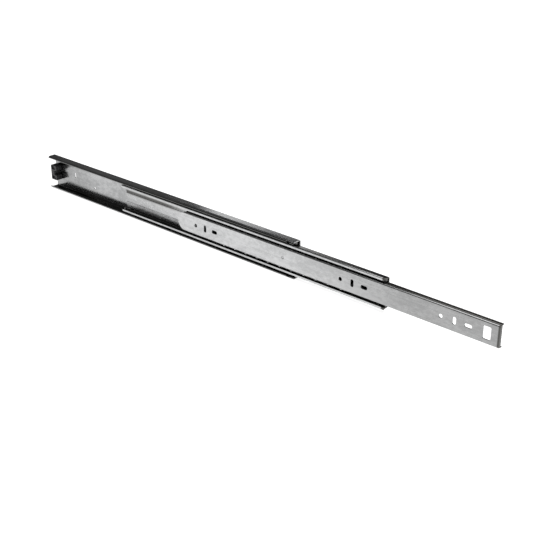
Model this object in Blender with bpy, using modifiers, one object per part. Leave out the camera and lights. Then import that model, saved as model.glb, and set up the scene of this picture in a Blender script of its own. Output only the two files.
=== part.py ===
"""Three-section ball-bearing drawer slide, 450 mm, part-way open.

Frame: metres, +Z up, +X the way the drawer pulls out, -Y the drawer's side.
The origin is the centre of the cabinet member's flat back, which lies in the plane Y = 0.
A cross-section is drawn with a depth, measured from that back towards the drawer, and a height.
Every moving section hangs from an empty at its own rear end.
"""

import math

import bmesh
import bpy
from mathutils import Matrix, Vector

MM = 0.001

# Overall sizes
SLIDE_LENGTH = 450.0 * MM
SLIDE_HEIGHT = 45.7 * MM
SLIDE_DEPTH = 12.7 * MM

# Sheet, balls and working clearances
SHEET = 1.2 * MM
CAGE_SHEET = 0.8 * MM
BALL_DIAMETER = 3.5 * MM
BALL_GAP = 0.15 * MM
CAGE_GAP = 0.4 * MM
PIECE_GAP = 0.3 * MM
STOP_GAP = 0.5 * MM
RAIL_GAP = 0.65 * MM
MERGE_DISTANCE = 0.05 * MM

# How far each section is pulled out here; fully out, each has moved half the slide's length
INTERMEDIATE_OUT = 140.8 * MM
DRAWER_OUT = 121.2 * MM
SECTION_TRAVEL = SLIDE_LENGTH / 2

# Bends of the sheet, on its middle line
BEND = 1.8 * MM
CURL_BEND = 1.85 * MM
CURL_TAIL = 0.05 * MM
TIGHT_BEND = 1.2 * MM
STEP_BEND = 0.8 * MM
BEND_SEGMENTS = 5

# The intermediate member's edges step out in front of the outer balls, then turn in
RACE_STEP = 0.6 * MM
RACE_STEP_RUN = 0.8 * MM
RACE_STEP_FROM_LIP = 1.4 * MM
RACE_STEP_FROM_BALL = 1.8 * MM
LIP_ABOVE_BALL = 0.65 * MM

# The drawer member's edges step out to its ball races and end in a shallow hook
DRAWER_STEP = 0.45 * MM
DRAWER_STEP_RUN = 0.9 * MM
DRAWER_STEP_FROM_BEND = 0.75 * MM
DRAWER_HOOK = 0.8 * MM
DRAWER_HOOK_RISE = 0.45 * MM

# Ball rows
BALLS_PER_ROW = 11
CAGE_END = 6.0 * MM
POCKET_GAP = 0.15 * MM
POCKET_WRAP = 0.9 * MM

# Screw holes
HOLE = 4.4 * MM
SLOT_WIDTH = 4.0 * MM
SLOT_LENGTH = 8.6 * MM
HOLE_PITCH = 16.0 * MM
HOLE_SEGMENTS = 16
PUNCH_REACH = 3 * SHEET

# Drawer member
DRAWER_GROUPS = (35.0 * MM, 163.0 * MM, 387.0 * MM)
WINDOW_FROM_FRONT = 14.0 * MM
WINDOW_WIDTH = 8.6 * MM
WINDOW_HEIGHT = 14.0 * MM
WINDOW_CORNER = 1.2 * MM
FRONT_FLANGE = 4.2 * MM
CATCH_WIDTH = 3.0 * MM
CATCH_DEPTH = 3.0 * MM
ROUND_END_SEGMENTS = 16

# Cabinet member
CABINET_HOLES = (37.0 * MM, 69.0 * MM, 165.0 * MM, 261.0 * MM, 293.0 * MM)
LIP_NOTCH = 4.0 * MM
LIP_NOTCH_FROM_FRONT = 6.0 * MM
REAR_SLIT = (43.0 * MM, 2.0 * MM, 2.0 * MM, 7.0 * MM)
REAR_HOLE = (84.0 * MM, -6.5 * MM, 2.8 * MM)

# Intermediate member
FRONT_SETBACK = 16.3 * MM
STOP_BOSS = 3.0 * MM
STOP_BOSS_HEIGHT = 10.0 * MM
STOP_TAB_CLEAR = 3.5 * MM
STOP_TAB_LOW = -1.5 * MM
STOP_TAB_BITE = 1.5 * MM

# Bumper in the cabinet member's rear end
BUMPER_LENGTH = 12.0 * MM
BUMPER_FROM_REAR = 1.0 * MM
BUMPER_LOBE = 5.0 * MM
BUMPER_NOTCH = 6.0 * MM
BUMPER_PEG = 4.0 * MM
BUMPER_CORNER = 1.6 * MM

# Disconnect lever and its rivet
LEVER_PIVOT_FROM_MIDDLE = 53.0 * MM
LEVER_THICKNESS = 3.2 * MM
LEVER_BOSS = 10.0 * MM
LEVER_ARM_HEIGHT = 5.0 * MM
LEVER_NOSE = 5.0 * MM
LEVER_NOSE_DEPTH = 1.6 * MM
LEVER_PAD = 12.0 * MM
LEVER_PAD_DROP = 2.0 * MM
SPRING_STRIP = 1.0 * MM
SPRING_EDGE = 0.65 * MM
SPRING_REACH = 24.0 * MM
SPRING_RISE = 6.0 * MM
RIVET_SHANK = 3.0 * MM
RIVET_HEAD = 6.4 * MM
RIVET_HEAD_THICKNESS = 0.8 * MM
RIVET_SINK = 0.1 * MM

# Heights and depths of the section, from the cabinet member inwards
BALL_RADIUS = BALL_DIAMETER / 2
CABINET_TOP = SLIDE_HEIGHT / 2 - SHEET / 2
CABINET_LIP = SLIDE_DEPTH - SHEET / 2
OUTER_BALL_HEIGHT = SLIDE_HEIGHT / 2 - SHEET - BALL_GAP - BALL_RADIUS
OUTER_CAGE_WEB = SHEET + CAGE_GAP + CAGE_SHEET / 2
INTERMEDIATE_WEB = OUTER_CAGE_WEB + CAGE_SHEET / 2 + CAGE_GAP + SHEET / 2
INTERMEDIATE_TOP = OUTER_BALL_HEIGHT - BALL_RADIUS - BALL_GAP - SHEET / 2
INTERMEDIATE_LIP = CABINET_LIP - SHEET / 2
RACE_STEP_BACK = INTERMEDIATE_LIP - RACE_STEP_FROM_LIP - RACE_STEP_RUN
OUTER_BALL_DEPTH = RACE_STEP_BACK - RACE_STEP_FROM_BALL
INNER_BALL_HEIGHT = INTERMEDIATE_TOP - SHEET / 2 - BALL_GAP - BALL_RADIUS
INNER_CAGE_WEB = INTERMEDIATE_WEB + SHEET / 2 + CAGE_GAP + CAGE_SHEET / 2
INNER_BALL_DEPTH = INNER_CAGE_WEB + CAGE_SHEET / 2 + CAGE_GAP + BALL_RADIUS + POCKET_GAP
DRAWER_WEB = SLIDE_DEPTH - SHEET / 2
DRAWER_RACE = INNER_BALL_HEIGHT - BALL_RADIUS - BALL_GAP - SHEET / 2
DRAWER_TOP = DRAWER_RACE - DRAWER_STEP
DRAWER_BACK = INNER_CAGE_WEB + CAGE_SHEET / 2 + CAGE_GAP + SHEET / 2

# Lengths and places along the slide, from the cabinet member's rear end
CABINET_REAR = -SLIDE_LENGTH / 2
BUMPER_FRONT = BUMPER_FROM_REAR + BUMPER_LENGTH
INTERMEDIATE_CLOSED = BUMPER_FRONT + STOP_GAP
INTERMEDIATE_LENGTH = SLIDE_LENGTH - INTERMEDIATE_CLOSED - FRONT_SETBACK
DRAWER_LENGTH = SLIDE_LENGTH
DRAWER_ROUND = DRAWER_TOP
INTERMEDIATE_REAR = CABINET_REAR + INTERMEDIATE_CLOSED + INTERMEDIATE_OUT
DRAWER_REAR = CABINET_REAR + INTERMEDIATE_OUT + DRAWER_OUT
DRAWER_STOP = INTERMEDIATE_CLOSED + SHEET + STOP_GAP

# Each cage just fits between its stops with the slide fully out, and moves half as far
OUTER_CAGE_FULL = INTERMEDIATE_CLOSED + SECTION_TRAVEL + STOP_BOSS + STOP_GAP
OUTER_CAGE_LENGTH = SLIDE_LENGTH - SHEET - STOP_GAP - OUTER_CAGE_FULL
OUTER_CAGE_REAR = CABINET_REAR + OUTER_CAGE_FULL - (SECTION_TRAVEL - INTERMEDIATE_OUT) / 2
INNER_CAGE_FULL = DRAWER_STOP + SHEET + STOP_GAP + SECTION_TRAVEL - INTERMEDIATE_CLOSED
INNER_CAGE_LENGTH = INTERMEDIATE_LENGTH - SHEET - STOP_GAP - INNER_CAGE_FULL
INNER_CAGE_REAR = INTERMEDIATE_REAR + INNER_CAGE_FULL - (SECTION_TRAVEL - DRAWER_OUT) / 2

# Lever: its nose meets the intermediate member's front stop with the drawer fully out
LEVER_PIVOT = DRAWER_LENGTH / 2 - LEVER_PIVOT_FROM_MIDDLE
NOSE_AT_STOP = INTERMEDIATE_CLOSED + INTERMEDIATE_LENGTH - SHEET - STOP_GAP
LEVER_REACH = NOSE_AT_STOP - SECTION_TRAVEL - LEVER_PIVOT
LEVER_BACK = SLIDE_DEPTH - SHEET - PIECE_GAP - LEVER_THICKNESS
STOP_TAB_TOP = DRAWER_TOP - SHEET / 2 - STOP_TAB_CLEAR
STOP_TAB_DEPTH = LEVER_BACK + STOP_TAB_BITE


def clear_scene():
    """Take out every object that the file starts with."""
    for item in list(bpy.data.objects):
        bpy.data.objects.remove(item, do_unlink=True)


def new_collection(name):
    """Make a collection for this model's objects."""
    made = bpy.data.collections.new(name)
    bpy.context.scene.collection.children.link(made)
    return made


def finish_material(name, colour, roughness, metallic):
    """A plain Principled material for one of the object's finishes."""
    made = bpy.data.materials.new(name)
    made.use_nodes = True
    shader = made.node_tree.nodes["Principled BSDF"]
    shader.inputs["Base Color"].default_value = (*colour, 1.0)
    shader.inputs["Roughness"].default_value = roughness
    shader.inputs["Metallic"].default_value = metallic
    return made


def section_empty(name, x):
    """An empty on the slide's middle line, at one section's rear end."""
    made = bpy.data.objects.new(name, None)
    made.location = (x, 0.0, 0.0)
    parts.objects.link(made)
    return made


def add_object(name, mesh, parent, material, collection=None):
    """Put a mesh in the model, hanging from its section's empty."""
    made = bpy.data.objects.new(name, mesh)
    (collection or parts).objects.link(made)
    made.parent = parent
    if material is not None:
        mesh.materials.append(material)
    return made


def mesh_from(bm, name):
    """Turn a bmesh into a mesh and free it."""
    mesh = bpy.data.meshes.new(name)
    bm.to_mesh(mesh)
    bm.free()
    return mesh


def rounded_path(corners):
    """Points along a line whose inner corners (depth, height, radius) are rounded."""
    points = [Vector(corners[0][:2])]
    for before, corner, after in zip(corners, corners[1:], corners[2:]):
        centre = Vector(corner[:2])
        back = (Vector(before[:2]) - centre).normalized()
        ahead = (Vector(after[:2]) - centre).normalized()
        half_angle = back.angle(ahead) / 2
        arc_centre = centre + (back + ahead).normalized() * corner[2] / math.sin(half_angle)
        reach = corner[2] / math.tan(half_angle)
        start = centre + back * reach - arc_centre
        end = centre + ahead * reach - arc_centre
        sweep = start.angle_signed(end)
        for step in range(BEND_SEGMENTS + 1):
            turn = Matrix.Rotation(-sweep * step / BEND_SEGMENTS, 2)
            points.append(arc_centre + turn @ start)
    points.append(Vector(corners[-1][:2]))
    return points


def rolled_sheet(name, corners, length, thickness, parent, material):
    """A symmetrical channel, rolled from sheet: half its middle line, mirrored and thickened."""
    bm = bmesh.new()
    line = [bm.verts.new((0.0, -depth, height)) for depth, height in rounded_path(corners)]
    edges = [bm.edges.new(pair) for pair in zip(line, line[1:])]
    swept = bmesh.ops.extrude_edge_only(bm, edges=edges)["geom"]
    moved = [item for item in swept if isinstance(item, bmesh.types.BMVert)]
    bmesh.ops.translate(bm, verts=moved, vec=(length, 0.0, 0.0))
    made = add_object(name, mesh_from(bm, name), parent, material)
    mirror = made.modifiers.new("other_half", "MIRROR")
    mirror.use_axis = (False, False, True)
    mirror.merge_threshold = MERGE_DISTANCE
    wall = made.modifiers.new("sheet", "SOLIDIFY")
    wall.thickness = thickness
    wall.offset = 0.0
    wall.use_even_offset = True
    return made


def add_punch(bm, centre, width, height, radius, length, axis="Y"):
    """A straight punch with a round, slotted or round-cornered outline, centred on a point."""
    made = bmesh.ops.create_cone(
        bm, cap_ends=True, segments=HOLE_SEGMENTS, radius1=radius, radius2=radius, depth=length
    )["verts"]
    half_step = Matrix.Rotation(math.pi / HOLE_SEGMENTS, 3, "Z")
    bmesh.ops.rotate(bm, verts=made, cent=(0.0, 0.0, 0.0), matrix=half_step)
    for vert in made:
        vert.co.x += math.copysign(width / 2 - radius, vert.co.x)
        vert.co.y += math.copysign(height / 2 - radius, vert.co.y)
    if axis == "Y":
        upright = Matrix.Rotation(math.pi / 2, 3, "X")
        bmesh.ops.rotate(bm, verts=made, cent=(0.0, 0.0, 0.0), matrix=upright)
    bmesh.ops.translate(bm, verts=made, vec=centre)


def add_block(bm, low, high):
    """A plain block between two corners."""
    low, high = Vector(low), Vector(high)
    made = bmesh.ops.create_cube(bm, size=1.0)["verts"]
    for vert in made:
        for axis in range(3):
            span = high[axis] - low[axis]
            vert.co[axis] = (low[axis] + high[axis]) / 2 + vert.co[axis] * span
    bmesh.ops.recalc_face_normals(bm, faces=bm.faces)


def combine(target, bm, name, operation):
    """Cut, or join on, the shapes in a bmesh, which stay behind as a wire guide."""
    guide = add_object(name, mesh_from(bm, name), target.parent, None, cutters)
    guide.matrix_parent_inverse = target.matrix_parent_inverse
    guide.location = target.location
    guide.hide_render = True
    guide.display_type = "WIRE"
    change = target.modifiers.new(name, "BOOLEAN")
    change.operation = operation
    change.object = guide


def smooth(target, angle=40.0):
    """Shade a piece smooth, with sharp edges where it really bends."""
    target.data.shade_smooth()
    target.data.set_sharp_from_angle(angle=math.radians(angle))


def both_sides(add, *pieces):
    """Add a block above the middle line and its twin below."""
    for low, high in pieces:
        add(low, high)
        add((low[0], low[1], -high[2]), (high[0], high[1], -low[2]))


def web_punch(bm, x, depth, width, height, radius, z=0.0):
    """A punch through a web whose middle lies at one depth."""
    add_punch(bm, (x, -depth, z), width, height, radius, PUNCH_REACH)


def screw_group(bm, slot_x, depth):
    """A lengthwise slot, an upright slot and a round hole, one pitch apart."""
    web_punch(bm, slot_x, depth, SLOT_LENGTH, SLOT_WIDTH, SLOT_WIDTH / 2)
    web_punch(bm, slot_x - HOLE_PITCH, depth, SLOT_WIDTH, SLOT_LENGTH, SLOT_WIDTH / 2)
    web_punch(bm, slot_x - 2 * HOLE_PITCH, depth, HOLE, HOLE, HOLE / 2)


def make_cabinet_member(section):
    """The widest channel, screwed to the cabinet: lips curled round the outer ball rows."""
    lip_end = CABINET_TOP - CURL_BEND - CURL_TAIL
    made = rolled_sheet(
        "cabinet_member",
        [
            (SHEET / 2, 0.0, 0.0),
            (SHEET / 2, CABINET_TOP, BEND),
            (CABINET_LIP, CABINET_TOP, CURL_BEND),
            (CABINET_LIP, lip_end, 0.0),
        ],
        SLIDE_LENGTH,
        SHEET,
        section,
        zinc,
    )
    smooth(made)

    tabs = bmesh.new()
    cage_low = OUTER_BALL_HEIGHT - CAGE_SHEET
    tab_front = OUTER_BALL_DEPTH + BALL_RADIUS - PIECE_GAP
    both_sides(
        lambda low, high: add_block(tabs, low, high),
        (
            (SLIDE_LENGTH - SHEET, -tab_front, cage_low),
            (SLIDE_LENGTH, -(OUTER_BALL_DEPTH - BALL_RADIUS), CABINET_TOP),
        ),
    )
    combine(made, tabs, "cabinet_front_tabs", "UNION")

    holes = bmesh.new()
    for from_front in CABINET_HOLES:
        web_punch(holes, SLIDE_LENGTH - from_front, SHEET / 2, HOLE, HOLE, HOLE / 2)
    for from_front in CABINET_HOLES[:3]:
        slot_x = SLIDE_LENGTH - from_front - HOLE_PITCH
        web_punch(holes, slot_x, SHEET / 2, SLOT_WIDTH, SLOT_LENGTH, SLOT_WIDTH / 2)
    slit_x, slit_z, slit_width, slit_height = REAR_SLIT
    web_punch(holes, slit_x, SHEET / 2, slit_width, slit_height, slit_width / 2, slit_z)
    hole_x, hole_z, hole_size = REAR_HOLE
    web_punch(holes, hole_x, SHEET / 2, hole_size, hole_size, hole_size / 2, hole_z)
    peg_hole = BUMPER_PEG + 2 * PIECE_GAP
    peg_x = BUMPER_FROM_REAR + BUMPER_LENGTH / 2
    web_punch(holes, peg_x, SHEET / 2, peg_hole, peg_hole, peg_hole / 2)
    combine(made, holes, "cabinet_holes", "DIFFERENCE")

    notches = bmesh.new()
    notch_front = SLIDE_LENGTH - LIP_NOTCH_FROM_FRONT
    both_sides(
        lambda low, high: add_block(notches, low, high),
        (
            (notch_front - LIP_NOTCH, -2 * SLIDE_DEPTH, lip_end - SHEET),
            (notch_front, -(SLIDE_DEPTH - 2 * SHEET), lip_end + SHEET),
        ),
    )
    combine(made, notches, "cabinet_lip_notches", "DIFFERENCE")


def make_intermediate_member(section):
    """The middle channel, with an outer and an inner ball race on each edge."""
    lip_top = INTERMEDIATE_TOP + RACE_STEP
    made = rolled_sheet(
        "intermediate_member",
        [
            (INTERMEDIATE_WEB, 0.0, 0.0),
            (INTERMEDIATE_WEB, INTERMEDIATE_TOP, BEND),
            (RACE_STEP_BACK, INTERMEDIATE_TOP, STEP_BEND),
            (RACE_STEP_BACK + RACE_STEP_RUN, lip_top, STEP_BEND),
            (INTERMEDIATE_LIP, lip_top, STEP_BEND),
            (INTERMEDIATE_LIP, INNER_BALL_HEIGHT + LIP_ABOVE_BALL, 0.0),
        ],
        INTERMEDIATE_LENGTH,
        SHEET,
        section,
        zinc,
    )
    smooth(made)

    tabs = bmesh.new()
    cage_low = INNER_BALL_HEIGHT - CAGE_SHEET
    for x in (0.0, INTERMEDIATE_LENGTH - SHEET):
        both_sides(
            lambda low, high: add_block(tabs, low, high),
            (
                (x, -(INNER_BALL_DEPTH + SHEET), cage_low),
                (x + SHEET, -(INNER_BALL_DEPTH - SHEET), INTERMEDIATE_TOP),
            ),
        )
    add_block(
        tabs,
        (INTERMEDIATE_LENGTH - SHEET, -STOP_TAB_DEPTH, STOP_TAB_LOW),
        (INTERMEDIATE_LENGTH, -INTERMEDIATE_WEB, STOP_TAB_TOP),
    )
    add_block(
        tabs,
        (0.0, -INTERMEDIATE_WEB, -STOP_BOSS_HEIGHT / 2),
        (STOP_BOSS, -(SHEET + CAGE_GAP), STOP_BOSS_HEIGHT / 2),
    )
    combine(made, tabs, "intermediate_tabs", "UNION")


def make_drawer_member(section):
    """The inner channel, screwed to the drawer: its edges are turned back over the inner rows."""
    step_front = DRAWER_WEB - TIGHT_BEND - DRAWER_STEP_FROM_BEND
    made = rolled_sheet(
        "drawer_member",
        [
            (DRAWER_WEB, 0.0, 0.0),
            (DRAWER_WEB, DRAWER_TOP, TIGHT_BEND),
            (step_front, DRAWER_TOP, STEP_BEND),
            (step_front - DRAWER_STEP_RUN, DRAWER_RACE, STEP_BEND),
            (DRAWER_BACK + DRAWER_HOOK, DRAWER_RACE, STEP_BEND),
            (DRAWER_BACK, DRAWER_RACE + DRAWER_HOOK_RISE, 0.0),
        ],
        DRAWER_LENGTH,
        SHEET,
        section,
        zinc,
    )
    smooth(made)

    tabs = bmesh.new()
    tab_top = INNER_BALL_HEIGHT + CAGE_SHEET / 2
    both_sides(
        lambda low, high: add_block(tabs, low, high),
        (
            (DRAWER_STOP, -(INNER_BALL_DEPTH + SHEET), DRAWER_RACE),
            (DRAWER_STOP + SHEET, -(INNER_BALL_DEPTH - SHEET / 2), tab_top),
        ),
    )
    flange_back = SLIDE_DEPTH - FRONT_FLANGE
    add_block(
        tabs,
        (DRAWER_LENGTH - SHEET, -DRAWER_WEB, -DRAWER_TOP),
        (DRAWER_LENGTH, -flange_back, DRAWER_TOP),
    )
    catch_x = BUMPER_FRONT - BUMPER_LOBE / 2
    add_block(
        tabs,
        (catch_x - SHEET / 2, -DRAWER_WEB, -CATCH_WIDTH / 2),
        (catch_x + SHEET / 2, -(SLIDE_DEPTH - SHEET - CATCH_DEPTH), CATCH_WIDTH / 2),
    )
    combine(made, tabs, "drawer_tabs", "UNION")

    holes = bmesh.new()
    for from_front in DRAWER_GROUPS:
        screw_group(holes, DRAWER_LENGTH - from_front, DRAWER_WEB)
    web_punch(
        holes,
        DRAWER_LENGTH - WINDOW_FROM_FRONT,
        DRAWER_WEB,
        WINDOW_WIDTH,
        WINDOW_HEIGHT,
        WINDOW_CORNER,
    )
    rivet_hole = RIVET_SHANK + 2 * PIECE_GAP
    web_punch(holes, LEVER_PIVOT, DRAWER_WEB, rivet_hole, rivet_hole, rivet_hole / 2)
    combine(made, holes, "drawer_holes", "DIFFERENCE")

    combine(made, round_end_cutter(), "drawer_round_end", "DIFFERENCE")


def round_end_cutter():
    """What is taken off the drawer member's rear end, to leave its web half round."""
    reach = SLIDE_HEIGHT
    turns = [math.pi * step / ROUND_END_SEGMENTS for step in range(ROUND_END_SEGMENTS + 1)]
    arc = [(DRAWER_ROUND * (1 - math.sin(turn)), DRAWER_ROUND * math.cos(turn)) for turn in turns]
    outline = arc + [(DRAWER_ROUND, -reach), (-SHEET, -reach), (-SHEET, reach), (DRAWER_ROUND, reach)]
    bm = bmesh.new()
    face = bm.faces.new([bm.verts.new((x, 0.0, z)) for x, z in outline])
    swept = bmesh.ops.extrude_face_region(bm, geom=[face])["geom"]
    moved = [item for item in swept if isinstance(item, bmesh.types.BMVert)]
    bmesh.ops.translate(bm, verts=moved, vec=(0.0, -2 * SLIDE_DEPTH, 0.0))
    bmesh.ops.recalc_face_normals(bm, faces=bm.faces)
    return bm


def ball_places(length):
    """Where the balls of one row sit along their cage."""
    pitch = (length - 2 * CAGE_END) / (BALLS_PER_ROW - 1)
    return [CAGE_END + pitch * number for number in range(BALLS_PER_ROW)]


def make_ball_cage(name, section, length, web_depth, ball_depth, ball_height):
    """A stamped strip whose two edges grip the balls in open round pockets."""
    made = rolled_sheet(
        name,
        [
            (web_depth, 0.0, 0.0),
            (web_depth, ball_height, STEP_BEND),
            (ball_depth + POCKET_WRAP, ball_height, 0.0),
        ],
        length,
        CAGE_SHEET,
        section,
        cage_steel,
    )
    smooth(made)
    pockets = bmesh.new()
    radius = BALL_RADIUS + POCKET_GAP
    for x in ball_places(length):
        for side in (1, -1):
            centre = (x, -ball_depth, side * ball_height)
            add_punch(pockets, centre, 2 * radius, 2 * radius, radius, PUNCH_REACH, "Z")
    combine(made, pockets, name + "_pockets", "DIFFERENCE")


def make_balls(name, section, length, ball_depth, ball_height):
    """One steel ball in each pocket of a cage."""
    bm = bmesh.new()
    bmesh.ops.create_icosphere(bm, subdivisions=2, radius=BALL_RADIUS)
    shared = mesh_from(bm, name)
    shared.materials.append(ball_steel)
    shared.shade_smooth()
    for side, row in ((1, "top"), (-1, "bottom")):
        for number, x in enumerate(ball_places(length), start=1):
            made = add_object(f"{name}_{row}_{number:02d}", shared, section, None)
            made.location = (x, -ball_depth, side * ball_height)


def make_rear_bumper(section):
    """A black buffer between the cabinet member's lips, pegged into its web."""
    half = DRAWER_TOP - SHEET / 2 - RAIL_GAP
    back = SHEET + PIECE_GAP
    front = SLIDE_DEPTH - SHEET - STOP_GAP
    bm = bmesh.new()
    centre = (BUMPER_FROM_REAR + BUMPER_LENGTH / 2, -(back + front) / 2, 0.0)
    add_punch(bm, centre, BUMPER_LENGTH, 2 * half, BUMPER_CORNER, front - back)
    mesh = mesh_from(bm, "rear_bumper")
    made = add_object("rear_bumper", mesh, section, black_plastic)
    smooth(made)

    peg = bmesh.new()
    peg_end = PIECE_GAP
    peg_length = back + BUMPER_PEG / 2 - peg_end
    peg_centre = (centre[0], -(peg_end + peg_length / 2), 0.0)
    add_punch(peg, peg_centre, BUMPER_PEG, BUMPER_PEG, BUMPER_PEG / 2, peg_length)
    combine(made, peg, "bumper_peg", "UNION")

    notch = bmesh.new()
    notch_depth = front - back + 2 * SHEET
    notch_centre = (BUMPER_FRONT, centre[1], 0.0)
    add_punch(notch, notch_centre, 2 * BUMPER_LOBE, BUMPER_NOTCH, BUMPER_CORNER, notch_depth)
    combine(made, notch, "bumper_notch", "DIFFERENCE")


def make_lever(pivot):
    """The black disconnect lever behind the drawer member's web, modelled about its pivot."""
    middle = -LEVER_THICKNESS / 2
    bm = bmesh.new()
    add_punch(bm, (0.0, middle, 0.0), LEVER_BOSS, LEVER_BOSS, LEVER_BOSS / 2, LEVER_THICKNESS)
    made = add_object("disconnect_lever", mesh_from(bm, "disconnect_lever"), pivot, black_plastic)
    smooth(made)

    arm = bmesh.new()
    half = LEVER_ARM_HEIGHT / 2
    add_block(arm, (0.0, -LEVER_THICKNESS, -half), (LEVER_REACH, 0.0, half))
    combine(made, arm, "lever_arm", "UNION")
    nose = bmesh.new()
    add_block(
        nose,
        (LEVER_REACH - LEVER_NOSE, -LEVER_THICKNESS / 2, -half),
        (LEVER_REACH, LEVER_NOSE_DEPTH, half),
    )
    combine(made, nose, "lever_nose", "UNION")
    pad = bmesh.new()
    add_block(
        pad,
        (LEVER_REACH - LEVER_PAD, -LEVER_THICKNESS / 2, -half - LEVER_PAD_DROP),
        (LEVER_REACH - SPRING_STRIP, 0.0, 0.0),
    )
    combine(made, pad, "lever_pad", "UNION")
    strip = bmesh.new()
    add_block(
        strip,
        (-SPRING_REACH, SPRING_EDGE - LEVER_THICKNESS, -SPRING_STRIP / 2),
        (0.0, -SPRING_EDGE, SPRING_STRIP / 2),
    )
    rise = Matrix.Rotation(math.atan2(SPRING_RISE, SPRING_REACH), 3, "Y")
    bmesh.ops.rotate(strip, verts=strip.verts, cent=(0.0, 0.0, 0.0), matrix=rise)
    combine(made, strip, "lever_spring", "UNION")

    hole = bmesh.new()
    size = RIVET_SHANK + 2 * PIECE_GAP
    add_punch(hole, (0.0, middle, 0.0), size, size, size / 2, LEVER_THICKNESS + PUNCH_REACH)
    combine(made, hole, "lever_hole", "DIFFERENCE")


def make_lever_rivet(section):
    """The shouldered rivet that the lever turns on, flush with the drawer member's face."""
    head_front = LEVER_BACK - PIECE_GAP
    head_back = head_front - RIVET_HEAD_THICKNESS
    tail = SLIDE_DEPTH - RIVET_SINK
    profile = [
        (0.0, tail),
        (RIVET_SHANK / 2, tail),
        (RIVET_SHANK / 2, head_front),
        (RIVET_HEAD / 2, head_front),
        (RIVET_HEAD / 2, head_back),
        (0.0, head_back),
    ]
    bm = bmesh.new()
    line = [bm.verts.new((radius, 0.0, depth)) for radius, depth in profile]
    for pair in zip(line, line[1:]):
        bm.edges.new(pair)
    made = add_object("lever_rivet", mesh_from(bm, "lever_rivet"), section, rivet_steel)
    made.location = (LEVER_PIVOT, 0.0, 0.0)
    made.rotation_euler = (math.pi / 2, 0.0, 0.0)
    turn = made.modifiers.new("turned", "SCREW")
    turn.steps = HOLE_SEGMENTS
    turn.render_steps = HOLE_SEGMENTS
    turn.use_merge_vertices = True
    turn.merge_threshold = MERGE_DISTANCE


clear_scene()
parts = new_collection("drawer_slide")
cutters = new_collection("cutters")

zinc = finish_material("zinc_plated_steel", (0.62, 0.63, 0.64), 0.32, 1.0)
cage_steel = finish_material("cage_steel", (0.48, 0.49, 0.50), 0.38, 1.0)
ball_steel = finish_material("ball_steel", (0.80, 0.80, 0.81), 0.12, 1.0)
rivet_steel = finish_material("rivet_steel", (0.42, 0.42, 0.43), 0.35, 1.0)
black_plastic = finish_material("black_plastic", (0.025, 0.025, 0.027), 0.45, 0.0)

cabinet_section = section_empty("cabinet_section", CABINET_REAR)
intermediate_section = section_empty("intermediate_section", INTERMEDIATE_REAR)
drawer_section = section_empty("drawer_section", DRAWER_REAR)
outer_cage_section = section_empty("outer_cage_section", OUTER_CAGE_REAR)
inner_cage_section = section_empty("inner_cage_section", INNER_CAGE_REAR)
lever_pivot = section_empty("lever_pivot", DRAWER_REAR + LEVER_PIVOT)
lever_pivot.location.y = -LEVER_BACK

make_cabinet_member(cabinet_section)
make_rear_bumper(cabinet_section)
make_intermediate_member(intermediate_section)
make_drawer_member(drawer_section)
make_lever_rivet(drawer_section)
make_lever(lever_pivot)
make_ball_cage(
    "outer_ball_cage",
    outer_cage_section,
    OUTER_CAGE_LENGTH,
    OUTER_CAGE_WEB,
    OUTER_BALL_DEPTH,
    OUTER_BALL_HEIGHT,
)
make_balls(
    "outer_ball", outer_cage_section, OUTER_CAGE_LENGTH, OUTER_BALL_DEPTH, OUTER_BALL_HEIGHT
)
make_ball_cage(
    "inner_ball_cage",
    inner_cage_section,
    INNER_CAGE_LENGTH,
    INNER_CAGE_WEB,
    INNER_BALL_DEPTH,
    INNER_BALL_HEIGHT,
)
make_balls(
    "inner_ball", inner_cage_section, INNER_CAGE_LENGTH, INNER_BALL_DEPTH, INNER_BALL_HEIGHT
)
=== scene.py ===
import math

import bmesh
import bpy
from mathutils import Matrix, Vector


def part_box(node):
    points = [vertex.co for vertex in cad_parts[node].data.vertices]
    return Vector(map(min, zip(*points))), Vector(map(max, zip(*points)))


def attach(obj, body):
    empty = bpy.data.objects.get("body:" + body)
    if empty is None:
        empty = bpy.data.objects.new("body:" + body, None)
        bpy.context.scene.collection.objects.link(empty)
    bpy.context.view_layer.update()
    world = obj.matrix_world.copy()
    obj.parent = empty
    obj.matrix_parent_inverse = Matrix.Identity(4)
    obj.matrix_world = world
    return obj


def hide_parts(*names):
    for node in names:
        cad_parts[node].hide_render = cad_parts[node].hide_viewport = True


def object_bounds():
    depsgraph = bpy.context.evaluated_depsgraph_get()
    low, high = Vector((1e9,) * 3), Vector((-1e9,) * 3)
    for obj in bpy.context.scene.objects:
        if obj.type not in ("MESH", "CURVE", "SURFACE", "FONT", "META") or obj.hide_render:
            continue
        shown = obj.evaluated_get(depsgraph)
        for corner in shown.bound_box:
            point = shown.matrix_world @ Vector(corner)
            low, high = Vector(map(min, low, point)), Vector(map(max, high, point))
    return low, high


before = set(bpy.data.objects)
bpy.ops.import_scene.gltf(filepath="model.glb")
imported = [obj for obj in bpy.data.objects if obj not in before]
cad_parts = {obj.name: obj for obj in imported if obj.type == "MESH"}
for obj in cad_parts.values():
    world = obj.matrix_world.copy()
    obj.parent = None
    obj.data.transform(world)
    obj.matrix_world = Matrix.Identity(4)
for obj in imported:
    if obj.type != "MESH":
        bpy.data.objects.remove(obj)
cad_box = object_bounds()
MM = 0.001

# ---------------------------------------------------------------------------
# Cabinet member: the widest channel, screwed flat to the cabinet's side.
# 1.2 mm cold-rolled steel strip, roll formed, its lips curled round the outer
# balls, pierced for screws and zinc plated. Its front end closes both races.
# ---------------------------------------------------------------------------
SHEET = 1.2
HALF = SHEET / 2
BEND_STEPS = 7
EDGE = 0.12
FLAT_MARGIN = 0.06
WELD = 0.01
SLOT_STEPS = 40


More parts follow.
